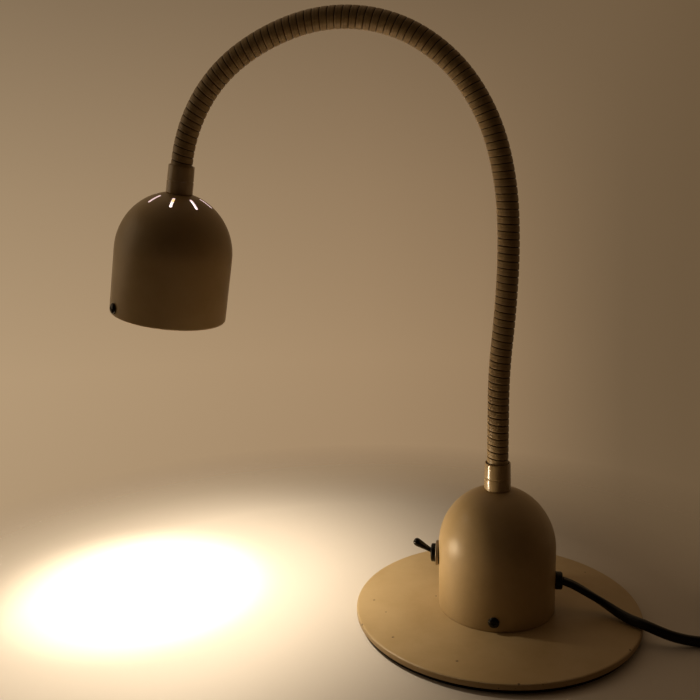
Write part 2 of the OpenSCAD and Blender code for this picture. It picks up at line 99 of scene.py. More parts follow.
def ramp(nt, fac, stops):
    n = nt.nodes.new("ShaderNodeValToRGB")
    e = n.color_ramp.elements
    while len(e) < len(stops):
        e.new(0.5)
    for s, (pos, c) in zip(e, stops):
        s.position = pos
        s.color = (c, c, c, 1) if isinstance(c, (int, float)) else (*c, 1)
    nt.links.new(fac, n.inputs[0])
    return n.outputs[0]


def mix(nt, fac, a, b):
    n = nt.nodes.new("ShaderNodeMix")
    n.data_type = "RGBA"
    for i, v in ((0, fac), (6, a), (7, b)):
        if hasattr(v, "is_linked"):
            nt.links.new(v, n.inputs[i])
        else:
            n.inputs[i].default_value = v if i == 0 else (*v, 1)
    return n.outputs[2]


def noise(nt, scale, detail=2.0, rough=0.5, vector=None):
    n = node(nt, "ShaderNodeTexNoise", Scale=scale, Detail=detail, Roughness=rough)
    v = vector if vector is not None else nt.nodes.new("ShaderNodeTexCoord").outputs["Object"]
    nt.links.new(v, n.inputs["Vector"])
    return n.outputs["Fac"]


def bump(nt, p, height, strength, distance):
    n = node(nt, "ShaderNodeBump", Strength=strength, Distance=distance)
    nt.links.new(height, n.inputs["Height"])
    nt.links.new(n.outputs[0], p.inputs["Normal"])
    return n


def speckle_mask(nt, spots, object_coords):
    """1 inside small irregular spots of given centre (m) and radius (m)"""
    distort = node(nt, "ShaderNodeTexNoise", Scale=900.0, Detail=2.0)
    nt.links.new(object_coords, distort.inputs["Vector"])
    total = None
    for (x, y, z, r) in spots:
        d = nt.nodes.new("ShaderNodeVectorMath")
        d.operation = "DISTANCE"
        nt.links.new(object_coords, d.inputs[0])
        d.inputs[1].default_value = (x, y, z)
        wob = math_node(nt, "MULTIPLY", distort.outputs["Fac"], r * 1.5)
        near = math_node(nt, "LESS_THAN", math_node(nt, "ADD", d.outputs["Value"], wob), r * 1.55)
        total = near if total is None else math_node(nt, "MAXIMUM", total, near)
    return total


# colours in linear light
CREAM = (0.535, 0.392, 0.204)
CREAM_LOW = (0.482, 0.346, 0.172)
CREAM_HIGH = (0.570, 0.425, 0.228)


def cream_paint(name, rough=0.40, chips=None, edge=False, coat=0.0):
    m, nt, p = material(name)
    tc = nt.nodes.new("ShaderNodeTexCoord").outputs["Object"]
    blotch = noise(nt, 26.0, 4.0, 0.6, tc)
    tone = ramp(nt, blotch, [(0.30, CREAM_LOW), (0.52, CREAM), (0.74, CREAM_HIGH)])
    grime = noise(nt, 110.0, 5.0, 0.7, tc)
    tone = mix(nt, ramp(nt, grime, [(0.60, 0.0), (0.80, 0.20)]), tone, (0.34, 0.24, 0.12))
    if chips:
        mask = speckle_mask(nt, chips, tc)
        tone = mix(nt, mask, tone, (0.110, 0.070, 0.042))
    if edge:
        # painted highlight: lighter cream in patches where the disc turns over its edge; the dark pits below are chips
        # on its side wall
        geo = nt.nodes.new("ShaderNodeNewGeometry")
        sep = nt.nodes.new("ShaderNodeSeparateXYZ")
        nt.links.new(geo.outputs["Normal"], sep.inputs[0])
        band = ramp(nt, sep.outputs["Z"], [(0.25, 0.0), (0.55, 1.0), (0.93, 0.0)])
        painted_edge_highlight = ramp(nt, noise(nt, 70.0, 4.0, 0.65, tc), [(0.42, 0.0), (0.60, 0.85)])
        tone = mix(nt, math_node(nt, "MULTIPLY", band, painted_edge_highlight), tone, (0.72, 0.60, 0.40))
        pits = ramp(nt, noise(nt, 420.0, 2.0, 0.5, tc), [(0.70, 0.0), (0.74, 1.0)])
        side = ramp(nt, sep.outputs["Z"], [(0.20, 1.0), (0.85, 0.0)])
        tone = mix(nt, math_node(nt, "MULTIPLY", pits, side), tone, (0.10, 0.065, 0.035))
    nt.links.new(tone, p.inputs["Base Color"])
    r = ramp(nt, noise(nt, 60.0, 3.0, 0.6, tc), [(0.3, rough - 0.05), (0.7, rough + 0.07)])
    nt.links.new(r, p.inputs["Roughness"])
    p.inputs["Specular IOR Level"].default_value = 0.5
    p.inputs["Coat Weight"].default_value = coat
    p.inputs["Coat Roughness"].default_value = 0.08
    peel = noise(nt, 1400.0, 2.0, 0.5, tc)
    wave = noise(nt, 260.0, 2.0, 0.5, tc)
    h = math_node(nt, "ADD", math_node(nt, "MULTIPLY", peel, 0.5), wave)
    bump(nt, p, h, 0.10, 0.0004)
    return m


def moulded(name, colour, rough=0.4, grain=900.0, strength=0.15, metallic=0.0, spread=0.25, coat=0.0, spec=0.5):
    m, nt, p = material(name)
    tc = nt.nodes.new("ShaderNodeTexCoord").outputs["Object"]
    lo = tuple(c * (1 - spread) for c in colour)
    hi = tuple(min(1.0, c * (1 + spread)) for c in colour)
    tone = ramp(nt, noise(nt, 60.0, 4.0, 0.6, tc), [(0.3, lo), (0.7, hi)])
    nt.links.new(tone, p.inputs["Base Color"])
    nt.links.new(ramp(nt, noise(nt, 150.0, 3.0, 0.6, tc), [(0.3, max(0.02, rough - 0.06)), (0.7, rough + 0.08)]),
                 p.inputs["Roughness"])
    p.inputs["Metallic"].default_value = metallic
    p.inputs["Coat Weight"].default_value = coat
    p.inputs["Specular IOR Level"].default_value = spec
    bump(nt, p, noise(nt, grain, 3.0, 0.6, tc), strength, 0.0003)
    return m


def metal(name, colour, rough=0.3, scratch=(300.0, 300.0, 40.0)):
    m, nt, p = material(name)
    tc = nt.nodes.new("ShaderNodeTexCoord").outputs["Object"]
    mp = nt.nodes.new("ShaderNodeMapping")
    mp.inputs["Scale"].default_value = scratch
    nt.links.new(tc, mp.inputs["Vector"])
    line = noise(nt, 8.0, 5.0, 0.7, mp.outputs[0])
    tone = ramp(nt, line, [(0.3, tuple(c * 0.82 for c in colour)), (0.7, colour)])
    nt.links.new(tone, p.inputs["Base Color"])
    nt.links.new(ramp(nt, line, [(0.3, rough + 0.10), (0.7, rough - 0.06)]), p.inputs["Roughness"])
    p.inputs["Metallic"].default_value = 1.0
    bump(nt, p, line, 0.12, 0.0002)
    return m


PAINT = cream_paint("cream_enamel", 0.36)
PAINT_FERRULE = cream_paint("cream_enamel_gloss", 0.20, coat=0.5)
CHIPS = [(-0.0911, -0.0069, 0.0079, 0.0009), (-0.0945, -0.0431, 0.0075, 0.0011), (-0.0797, -0.0237, 0.0079, 0.0007),
         (-0.0703, -0.0577, 0.0079, 0.0010), (-0.0249, -0.0817, 0.0079, 0.0010), (0.0146, -0.1022, 0.0076, 0.0009),
         (0.0883, -0.0527, 0.0076, 0.0010), (-0.0452, 0.0056, 0.0079, 0.0008), (0.0300, 0.0880, 0.0079, 0.0009),
         (0.0700, 0.0610, 0.0079, 0.0007), (-0.0500, 0.0800, 0.0079, 0.0008), (0.0020, -0.1035, 0.0050, 0.0008),
         (-0.0560, -0.0862, 0.0055, 0.0009)]
PAINT_FOOT = cream_paint("cream_enamel_chipped_edge_highlight", 0.36, chips=CHIPS, edge=True)
BLACK_GLOSS = moulded("black_gloss", (0.0035, 0.003, 0.0025), 0.20, 700.0, 0.06, spec=0.30)
BLACK_SATIN = moulded("black_satin", (0.0050, 0.0045, 0.0040), 0.34, 900.0, 0.12, spec=0.30)
CARRIER = moulded("carrier_black", (0.030, 0.028, 0.026), 0.45, 700.0, 0.15)
PAD = moulded("pad_foam", (0.010, 0.009, 0.008), 0.85, 1500.0, 0.6, spec=0.2)
SCREW = moulded("screw_black", (0.0055, 0.0050, 0.0045), 0.25, 1100.0, 0.10, spec=0.35)
ZINC = metal("zinc", (0.62, 0.63, 0.65), 0.34)
BUSHING = metal("bushing_dark", (0.20, 0.19, 0.18), 0.38)
NICKEL = metal("plate_nickel", (0.47, 0.39, 0.30), 0.36, (400.0, 400.0, 400.0))
CHROME = metal("pin_nickel", (0.74, 0.73, 0.70), 0.20)
BRASS = metal("brass", (0.72, 0.54, 0.24), 0.30)
CORE = metal("core", (0.16, 0.15, 0.15), 0.5, (1600.0, 30.0, 30.0))
TAPE = moulded("winding_tape", (0.62, 0.42, 0.09), 0.35, 500.0, 0.2)
TERMINAL = moulded("terminal_white", (0.70, 0.70, 0.64), 0.45, 900.0, 0.1)
WIRE = moulded("wire_brown", (0.16, 0.07, 0.03), 0.45, 900.0, 0.1)
WIRE_WHITE = moulded("wire_silicone", (0.62, 0.58, 0.50), 0.5, 900.0, 0.1)
CERAMIC = moulded("ceramic", (0.72, 0.68, 0.58), 0.42, 1200.0, 0.2, spread=0.1)


def glow(name, base, colour, strength, rough=0.3, facets=False, low=0.62):
    m, nt, p = material(name)
    tc = nt.nodes.new("ShaderNodeTexCoord").outputs["Object"]
    n = noise(nt, 160.0, 3.0, 0.6, tc)
    nt.links.new(ramp(nt, n, [(0.3, tuple(c * 0.85 for c in base)), (0.7, base)]), p.inputs["Base Color"])
    nt.links.new(ramp(nt, n, [(0.25, tuple(c * low for c in colour)), (0.65, colour)]), p.inputs["Emission Color"])
    p.inputs["Emission Strength"].default_value = strength
    p.inputs["Roughness"].default_value = rough
    if facets:
        v = node(nt, "ShaderNodeTexVoronoi", Scale=330.0)
        nt.links.new(tc, v.inputs["Vector"])
        bump(nt, p, v.outputs["Distance"], 0.5, 0.001)
    else:
        bump(nt, p, n, 0.1, 0.0003)
    return m


GLOW_WALL = glow("shade_inside_lit", (0.6, 0.52, 0.48), (1.0, 0.84, 0.84), 1.3, low=0.85)
GLOW_EDGE = glow("slot_edge_lit", (0.30, 0.22, 0.20), (1.0, 0.74, 0.74), 0.78, low=0.80)
GLOW_BOWL = glow("reflector_lit", (0.80, 0.78, 0.80), (1.0, 0.86, 0.62), 2.6, 0.15, facets=True)
GLOW_CAPSULE = glow("capsule_lit", (0.9, 0.9, 0.9), (1.0, 0.88, 0.66), 26.0)


# ---------------------------------------------------------------- mesh helpers
def link(name, mesh):
    o = bpy.data.objects.new(name, mesh)
    bpy.context.scene.collection.objects.link(o)
    return o


def mesh_object(name, verts, faces, mats, index=None, matrix=None):
    """verts in mm, in the frame that matrix (mm) takes to the row frame"""
    me = bpy.data.meshes.new(name)
    M = matrix if matrix is not None else Matrix.Identity(4)
    me.from_pydata([(M @ Vector(v)) * MM for v in verts], [], faces)
    for m in mats:
        me.materials.append(m)
    if index:
        me.polygons.foreach_set("material_index", index)
    me.update()
    return link(name, me)


def outward(o):
    bm = bmesh.new()
    bm.from_mesh(o.data)
    bmesh.ops.recalc_face_normals(bm, faces=bm.faces)
    bm.to_mesh(o.data)
    bm.free()


def smooth(o, angle=35):
    """smooth shading with true edges kept sharp"""
    bm = bmesh.new()
    bm.from_mesh(o.data)
    for f in bm.faces:
        f.smooth = True
    for e in bm.edges:
        e.smooth = not (len(e.link_faces) == 2 and e.calc_face_angle(0) > math.radians(angle))
    bm.to_mesh(o.data)
    bm.free()
    return o


def rounded(points, closed=True):
    """points (r, z, corner radius): corners turned into arcs"""
    n = len(points)
    out = []
    for i, (x, y, rad) in enumerate(points):
        if rad <= 0 or (not closed and i in (0, n - 1)):
            out.append((x, y))
            continue
        a = Vector(points[i - 1][:2]) - Vector((x, y))
        b = Vector(points[(i + 1) % n][:2]) - Vector((x, y))
        if a.length < 1e-6 or b.length < 1e-6:
            out.append((x, y))
            continue
        rad = min(rad, a.length * 0.49, b.length * 0.49)
        a.normalize(), b.normalize()
        p0, p1 = Vector((x, y)) + a * rad, Vector((x, y)) + b * rad
        c = Vector((x, y))
        for k in range(5):
            t = k / 4
            q = p0 * (1 - t) ** 2 + c * 2 * t * (1 - t) + p1 * t * t
            out.append((q.x, q.y))
    return out


def lathe(name, prof, mats, seg=96, matrix=None, closed=True, index=None, angle=35):
    """prof: (r, z) round the section; index: material index per profile edge"""
    n = len(prof)
    verts, rows = [], []
    for (r, z) in prof:
        if r < 1e-6:
            rows.append([len(verts)] * seg)
            verts.append((0, 0, z))
        else:
            rows.append([len(verts) + k for k in range(seg)])
            verts += [(r * math.cos(2 * PI * k / seg), r * math.sin(2 * PI * k / seg), z) for k in range(seg)]
    faces, mi = [], []
    for i in range(n if closed else n - 1):
        a, b = rows[i], rows[(i + 1) % n]
        if a[0] == a[1] and b[0] == b[1]:
            continue
        for k in range(seg):
            q = [a[k], a[(k + 1) % seg], b[(k + 1) % seg], b[k]]
            f = []
            for v in q:
                if v not in f:
                    f.append(v)
            faces.append(f)
            mi.append(index[i] if index else 0)
    o = mesh_object(name, verts, faces, mats, mi, matrix)
    outward(o)
    return smooth(o, angle)


def cut(o, cutters):
    for c in cutters:
        m = o.modifiers.new("cut", "BOOLEAN")
        m.operation = "DIFFERENCE"
        m.solver = "EXACT"
        m.object = c
    dg = bpy.context.evaluated_depsgraph_get()
    me = bpy.data.meshes.new_from_object(o.evaluated_get(dg))
    o.modifiers.clear()
    old = o.data
    o.data = me
    bpy.data.meshes.remove(old)
    for c in cutters:
        bpy.data.objects.remove(c)
    return o


def T(x, y, z):
    return Matrix.Translation(Vector((x, y, z)))


def R(axis, deg):
    return Matrix.Rotation(math.radians(deg), 4, axis)


# ---------------------------------------------------------------- frames of the neck, in mm
pad_t, foot_t = 3.3, 4.6
foot_top = pad_t + foot_t
dome_r, dome_h, straight, shell_t = 42.5, 91.2, 46.5, 0.9
crown = dome_h - straight
seat_r = 9.8
seat_h = straight + crown * math.sqrt(1 - (seat_r / dome_r) ** 2)
ferrule_h = 20.1
neck_z = foot_top + seat_h + ferrule_h
STEP = 44.3
BEND = [0, -5.5, 3, 5.5, 12, 18.5, 23, 25, 23.5, 18, 24.5, 22]
SIDE = [0, 0, 0, 0, 0, 0, 0, 0, 0, -0.8, -1.6, -2.4]


def step_over(k, t=1.0):
    """frame after fraction t of length k"""
    a = math.hypot(BEND[k], SIDE[k])
    if a == 0:
        return T(0, 0, STEP * t)
    o = math.degrees(math.atan2(SIDE[k], BEND[k]))
    rr = STEP / math.radians(a)
    A = math.radians(a) * t
    return R("Z", o) @ T(rr - rr * math.cos(A), 0, rr * math.sin(A)) @ R("Y", a * t) @ R("Z", -o)


F = [T(0, 0, neck_z) @ R("Z", 183)]
for k in range(12):
    F.append(F[-1] @ step_over(k))


def along(s):
    """frame at arc length s (mm) from the neck's lower end"""
    if s <= 0:
        return F[0] @ T(0, 0, s)
    if s >= 12 * STEP:
        return F[12] @ T(0, 0, s - 12 * STEP)
    k = int(s // STEP)
    return F[k] @ step_over(k, s / STEP - k)


LOWER = T(0, 0, foot_top + seat_h)
SHADE = F[12] @ T(0, 0, ferrule_h + seat_h) @ R("X", 180)
UPPER = SHADE @ T(0, 0, seat_h)


# ---------------------------------------------------------------- the lead: route, coil and tail, in mm
ROUTE = [(47.6, 0, 29.2), (54, 0, 26.9), (61, -0.4, 23.4), (68, -1.4, 19.7),
         (75, -3.8, 16.5), (81.5, -8, 14), (87.5, -13.4, 12.4), (94, -19.2, 11.8),
         (101, -24.4, 11.8), (108, -28, 10.6), (115, -29.6, 8.6), (122, -29.8, 6.6),
         (130, -29.2, 4.8), (138, -28.6, 3.9), (147, -28.6, 3.75), (160, -29, 3.75),
         (173, -29.5, 3.75), (186, -30, 3.75), (196, -30.3, 3.75)]
COIL = (212.0, 22.2)
OUT, IN = 52.5, 30.0


def coil_points():
    pts = []
    n = 28
    for i in range(3 * n + 1):
        a, r = -90 + 360 * i / n, OUT - 7.5 * i / n
        pts.append((a, r, 3.75))
    a0 = -90 + 1080
    for i in range(1, 7):
        u = i / 6
        pts.append((a0 + 60 * u, IN, 3.75 + 7.5 * u * u * (3 - 2 * u)))
    a0 += 60
    for i in range(1, 3 * n + 1):
        pts.append((a0 + 360 * i / n, IN + 7.5 * i / n, 11.25))
    a0 += 1080
    for i in range(1, 13):
        u = i / 12
        pts.append((a0 + 86 * u, OUT + 12 * u * u * (1.6 - 0.6 * u), 11.25 - 5.6 * u * u * (3 - 2 * u)))
    return [(COIL[0] + r * math.cos(math.radians(a)), COIL[1] + r * math.sin(math.radians(a)), z) for a, r, z in pts]


def catmull(p, k):
    out = []
    n = len(p)
    for i in range(n - 1):
        a, b, c, d = (Vector(p[max(i - 1, 0)]), Vector(p[i]), Vector(p[i + 1]), Vector(p[min(i + 2, n - 1)]))
        for j in range(k):
            t = j / k
            out.append(0.5 * (2 * b + (c - a) * t + (2 * a - 5 * b + 4 * c - d) * t * t
                              + (3 * b - 3 * c + d - a) * t ** 3))
    out.append(Vector(p[-1]))
    return out


line = catmull(ROUTE + coil_points(), 2)
FLAT_W, FLAT_T = 3.66, 2.80          # half width and half thickness of the two-core flat lead
verts, faces = [], []
NS = 28
run = 0.0
for i, p in enumerate(line):
    t = (line[min(i + 1, len(line) - 1)] - line[max(i - 1, 0)]).normalized()
    if i:
        run += (p - line[i - 1]).length
    side = t.cross(Vector((0, 0, 1))).normalized()
    upv = side.cross(t).normalized()
    # lies flat at the dome, rolls on to its edge along the run
    u = min(1, max(0, (run - 9) / 46))
    tw = math.radians(90) * (u * u * (3 - 2 * u))
    wide = side * math.cos(tw) + upv * math.sin(tw)
    thin = -side * math.sin(tw) + upv * math.cos(tw)
    for k in range(NS):
        a = 2 * PI * k / NS
        # two round cores side by side under one jacket: a shallow waist in the middle
        ca, sa = math.cos(a), math.sin(a)
        w = FLAT_W * (abs(ca) ** 0.85) * (1 if ca >= 0 else -1)
        h = FLAT_T * (abs(sa) ** 0.85) * (1 if sa >= 0 else -1) * (1 - 0.13 * math.exp(-(w / 0.75) ** 2))
        verts.append(tuple(p + wide * w + thin * h))
for i in range(len(line) - 1):
    for k in range(NS):
        faces.append((i * NS + k, i * NS + (k + 1) % NS, (i + 1) * NS + (k + 1) % NS, (i + 1) * NS + k))
faces.append(tuple(range(NS))[::-1])
faces.append(tuple((len(line) - 1) * NS + k for k in range(NS)))
CORD = moulded("cord_vinyl", (0.0048, 0.0042, 0.0036), 0.34, 500.0, 0.10, spec=0.35)
lead = mesh_object("lead", verts, faces, [CORD])
outward(lead)
smooth(lead, 60)
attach(lead, "base")
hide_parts("cord_lead", "cord_coil", "cord_tail")

# tie round the coil: a flat strap hugging both layers, with a small twisted knot
strap_dir = math.radians(150)
SM = T(COIL[0], COIL[1], 0) @ R("Z", 150)
sec = rounded([(IN - 4.5, 0.1, 2.2), (OUT + 4.5, 0.1, 2.2), (OUT + 4.5, 15.8, 2.6), (IN - 4.5, 15.8, 2.6)])
inner = rounded([(IN - 3.75, 0.6, 1.8), (OUT + 3.75, 0.6, 1.8), (OUT + 3.75, 15.1, 2.2), (IN - 3.75, 15.1, 2.2)])
tv, tf = [], []
ns = len(sec)
for y in (-4.2, -3.8, 3.8, 4.2):
    ins = 0.25 if abs(y) > 4 else 0.0
    for (r, z) in sec:
        tv.append((r + (ins if r < 40 else -ins), y, z + (ins if z < 7 else -ins)))
    for (r, z) in inner:
        tv.append((r, y, z))
for j in range(3):
    for k in range(ns):
        a, b = j * 2 * ns, (j + 1) * 2 * ns
        tf.append((a + k, a + (k + 1) % ns, b + (k + 1) % ns, b + k))
        tf.append((a + ns + (k + 1) % ns, a + ns + k, b + ns + k, b + ns + (k + 1) % ns))
for j, flip in ((0, False), (3, True)):
    a = j * 2 * ns
    for k in range(ns):
        q = (a + k, a + (k + 1) % ns, a + ns + (k + 1) % ns, a + ns + k)
        tf.append(q[::-1] if flip else q)
tie = mesh_object("tie_strap", tv, tf, [BLACK_SATIN], matrix=SM)
outward(tie)
smooth(tie, 50)
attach(tie, "base")
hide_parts("cord_tie")
buckle = lathe("tie_buckle", rounded([(0, 15.75, 0), (3.4, 15.75, 0.3), (3.4, 16.9, 0.5), (0, 17.1, 0)], False),
               [BLACK_SATIN], 40, SM @ T((IN + OUT) / 2, 0, 0), closed=False)
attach(buckle, "base")

# plug: ribbed strain relief, rounded moulded body, two pins
tail_end = Vector(coil_points()[-1])
tail_prev = Vector(coil_points()[-2])
dirn = math.degrees(math.atan2(tail_end.y - tail_prev.y, tail_end.x - tail_prev.x))
PM = T(*tail_end) @ R("Z", dirn)
prof = [(0, -1.0), (3.72, -1.0), (3.75, 0)]
for i in range(6):
    x0 = 0.4 + i * 2.0
    r = 3.85 + i * 0.22
    prof += [(r, x0), (r + 0.12, x0 + 0.35), (r + 0.12, x0 + 1.05), (r, x0 + 1.4), (r - 0.35, x0 + 1.5), (r - 0.35, x0 + 1.9)]
prof += [(5.1, 12.4), (5.1, 14), (0, 14)]
relief = lathe("plug_relief", prof, [BLACK_SATIN], 48, PM @ R("Y", 90), closed=False)
pv, pf = [], []
NP = 40
sections = [(11.2, 4.7, 4.7), (12.5, 5.15, 5.15), (15, 8.2, 5.3), (18.5, 13.2, 5.45), (20.5, 14.6, 5.55), (24, 15.0, 5.58),
            (29.5, 15.0, 5.58), (31.2, 14.6, 5.3), (32.6, 14.1, 4.8), (34.8, 13.8, 4.55), (35.4, 13.2, 4.1)]
for (x, w, h) in sections:
    for k in range(NP):
        a = 2 * PI * k / NP
        c, s = math.cos(a), math.sin(a)
        e = 0.62
        pv.append((x, w * abs(c) ** e * (1 if c >= 0 else -1), h * abs(s) ** e * (1 if s >= 0 else -1)))
for i in range(len(sections) - 1):
    for k in range(NP):
        pf.append((i * NP + k, i * NP + (k + 1) % NP, (i + 1) * NP + (k + 1) % NP, (i + 1) * NP + k))
pf.append(tuple(range(NP))[::-1])
pf.append(tuple((len(sections) - 1) * NP + k for k in range(NP)))
plug = mesh_object("plug_moulding", pv, pf, [BLACK_SATIN], matrix=PM)
outward(plug)
smooth(plug, 50)
for o in (relief, plug):
    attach(o, "base")
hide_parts("plug_body")


# ---------------------------------------------------------------- the gooseneck
PITCH = 5.05
M_ROWS = 14
N_COL = 56


def band(v):
    """radius (mm) and painted groove shade (darkness, 0 to 1) over one turn of the strip, v from 0 to 1"""
    w = 0.10
    d = min(v, 1 - v)
    if d < w:
        u = d / w
        return 7.54 - 0.75 * (1 - u) ** 1.5, (1 - u) ** 0.9
    # broad crown, with the strip's slight step near its upper third and painted shade under that step
    x = (v - w) / (1 - 2 * w)
    r = 7.54 + 0.10 * math.sin(PI * min(1, max(0, x))) ** 0.5
    lip = math.exp(-((x - 0.60) / 0.055) ** 2)
    return r - 0.10 * lip, 0.30 * lip


def band_positions():
    return [0.0, 0.035, 0.07, 0.10, 0.15, 0.25, 0.37, 0.48, 0.54, 0.58, 0.62, 0.68, 0.77, 0.86, 0.90, 0.93, 0.965]


VPOS = band_positions()
M_ROWS = len(VPOS)


def neck_paint():
    m, nt, p = material("cream_enamel_neck")
    tc = nt.nodes.new("ShaderNodeTexCoord").outputs["Object"]
    at = nt.nodes.new("ShaderNodeAttribute")
    at.attribute_name = "groove_shade"
    g = at.outputs["Fac"]
    tone = ramp(nt, noise(nt, 40.0, 4.0, 0.6, tc), [(0.30, CREAM_LOW), (0.55, CREAM), (0.75, CREAM_HIGH)])
    rub = ramp(nt, noise(nt, 320.0, 4.0, 0.7, tc), [(0.52, 0.0), (0.72, 0.35)])
    tone = mix(nt, rub, tone, (0.40, 0.28, 0.13))
    # painted shade: the cream turns near black in the grooves between the turns
    tone = mix(nt, ramp(nt, g, [(0.10, 0.0), (0.60, 0.92)]), tone, (0.060, 0.036, 0.018))
    nt.links.new(tone, p.inputs["Base Color"])
    nt.links.new(ramp(nt, noise(nt, 120.0, 3.0, 0.6, tc), [(0.3, 0.34), (0.7, 0.50)]), p.inputs["Roughness"])
    bump(nt, p, noise(nt, 900.0, 3.0, 0.6, tc), 0.12, 0.0004)
    return m


NECK = neck_paint()


def neck_piece(name, turn0, turn1):
    """turns turn0..turn1 of the strip; its ends follow the strip's own edge"""
    rows = []
    for tn in range(turn0, turn1):
        for v in VPOS:
            rows.append((tn + v, v))
    rows.append((float(turn1), 0.0))
    verts, groove_shade = [], []
    for (q, v) in rows:
        r, g = band(v)
        for k in range(N_COL + 1):
            a = k / N_COL
            # s falls as the angle grows: the turns slope down to the right
            s = PITCH * (q - a)
            M = along(s)
            th = 2 * PI * a
            verts.append(M @ Vector((r * math.cos(th), r * math.sin(th), 0)))
            groove_shade.append(g)
    me = bpy.data.meshes.new(name)
    faces = []
    W = N_COL + 1
    for i in range(len(rows) - 1):
        for k in range(N_COL):
            faces.append((i * W + k, i * W + k + 1, (i + 1) * W + k + 1, (i + 1) * W + k))
    me.from_pydata([v * MM for v in verts], [], faces)
    me.materials.append(NECK)
    at = me.attributes.new("groove_shade", "FLOAT", "POINT")
    at.data.foreach_set("value", groove_shade)
    o = link(name, me)
    bm = bmesh.new()
    bm.from_mesh(me)
    bmesh.ops.remove_doubles(bm, verts=bm.verts, dist=2e-7)
    for f in bm.faces:
        f.smooth = True
    bm.to_mesh(me)
    bm.free()
    return o


# turns are counted from the lower end; a piece's seam is the turn nearest the middle of a length
turns_total = int(math.ceil((12 * STEP + 4) / PITCH))
seams = [-1] + [round((i + 0.5) * STEP / PITCH) for i in range(12)] + [turns_total]
for i in range(13):
    o = neck_piece("neck_strip_%02d" % i, seams[i], seams[i + 1])
    if i == 0:
        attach(o, "base")
    elif i == 12:
        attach(o, "shade")
        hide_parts("neck_12")
    else:
        s0, s1 = seams[i] * PITCH + 3, seams[i + 1] * PITCH - 8
        a, b = along(s0).translation * MM, along(s1).translation * MM
        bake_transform(o)
        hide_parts("neck_%02d" % i)


# ---------------------------------------------------------------- ferrules
def ferrule_profile():
    h = ferrule_h
    return rounded([(5.0, 0.05, 0), (8.95, 0.05, 0.2), (9.58, 0.62, 0.3), (9.52, h * 0.42, 0.15), (9.25, h * 0.445, 0.15),
                    (9.25, h * 0.465, 0.15), (9.48, h * 0.49, 0.15), (9.22, h - 0.45, 0.25), (9.12, h, 0.22),
                    (8.35, h, 0.15), (8.35, h - 2.0, 0), (7.76, h - 2.2, 0), (7.76, h - 15, 0), (5.0, h - 15, 0)])


for nm, M, body in (("ferrule_base", LOWER, "base"), ("ferrule_shade", UPPER, "shade")):
    o = lathe(nm, ferrule_profile(), [PAINT_FERRULE], 96, M)
    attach(o, body)
    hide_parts("ferrule_lower" if body == "base" else "ferrule_upper")


# ---------------------------------------------------------------- domes
def crown_profile(r, h, n, lo=seat_r):
    top = math.acos(lo / r)
    return [(r * math.cos(top * i / n), straight + h * math.sin(top * i / n)) for i in range(n + 1)]


def dome_section():
    """outer and inner skins with a rolled rim, from the rim's inner edge outwards and back"""
    ri = dome_r - shell_t
    outer = crown_profile(dome_r - 0.02, crown, 40)
    inner = crown_profile(ri, crown - shell_t, 40)[::-1]
    rim = [(ri, 0.35), (ri + 0.12, 0.12), (ri + 0.28, 0.02), (ri + 0.42, 0.02), (dome_r - 0.24, 0.22), (dome_r - 0.05, 0.75)]
    walls = [(dome_r - 0.02, z) for z in (1.5, 6, 12, 20, 28, 36)]
    top = [(7.4, seat_h + 0.02), (5.1, seat_h + 0.02), (5.1, seat_h - shell_t - 0.35)]
    back = [(ri, z) for z in (36, 28, 21.2, 12, 5)]
    return rim, walls, outer, top, inner, back


rim, walls, outer, top, inner, back = dome_section()
section = rim + walls + outer + top + inner + back
lit = []
for i in range(len(section)):
    z0, z1 = section[i][1], section[(i + 1) % len(section)][1]
    inside = i >= len(rim) + len(walls) + len(outer) + len(top) - 1
    lit.append(1 if inside and min(z0, z1) > 21 else 0)

base_dome = lathe("dome_base", section, [PAINT], 160, T(0, 0, foot_top))
base_cut = []
for (x, z, r) in ((-dome_r, 46.0, 5.65), (dome_r, 29.2, 5.35)):
    base_cut.append(lathe("cutter", [(0, -6), (r, -6), (r, 6), (0, 6)], [PAINT], 48, T(x, 0, z) @ R("Y", 90), closed=False))
for c in base_cut:
    outward(c)
cut(base_dome, base_cut)
smooth(base_dome, 30)
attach(base_dome, "base")
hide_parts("base_dome")

shade_dome = lathe("dome_shade", section, [PAINT, GLOW_WALL, GLOW_EDGE], 160, SHADE, index=lit)


def slot_cutter(a):
    pts = []
    for k in range(17):
        t = PI / 2 + PI * k / 16
        pts.append((-4.4 + math.cos(t), math.sin(t)))
    for k in range(17):
        t = -PI / 2 + PI * k / 16
        pts.append((4.4 + math.cos(t), math.sin(t)))
    n = len(pts)
    v = [(x, y, -9) for x, y in pts] + [(x, y, 9) for x, y in pts]
    f = [tuple(range(n))[::-1], tuple(range(n, 2 * n))] + [(k, (k + 1) % n, n + (k + 1) % n, n + k) for k in range(n)]
    o = mesh_object("cutter", v, f, [PAINT, GLOW_WALL, GLOW_EDGE], [2] * len(f), SHADE @ R("Z", a) @ T(19.8, 0, 86) @ R("Y", 29))
    outward(o)
    return o


cut(shade_dome, [slot_cutter(8 - 45 * i) for i in range(8)])
smooth(shade_dome, 30)
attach(shade_dome, "shade")
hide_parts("shade_dome")

# ---------------------------------------------------------------- foot
r = 104.0
disc = lathe("foot_disc", rounded([(0, 3.32, 0), (r - 0.5, 3.32, 0.3), (r, 3.9, 0.4), (r, 6.9, 0.6), (r - 0.35, 7.62, 0.5),
                                   (r - 1.4, 7.9, 0.8), (60, 7.9, 0), (0, 7.9, 0)], False), [PAINT_FOOT], 256, closed=False, angle=50)
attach(disc, "base")
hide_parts("base_disc")
pad = lathe("foot_pad", rounded([(0, 0.02, 0), (101.2, 0.02, 0.5), (101.9, 0.6, 0.5), (101.7, 3.28, 0.2), (0, 3.28, 0)], False),
            [PAD], 192, closed=False, angle=50)
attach(pad, "base")
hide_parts("base_pad")


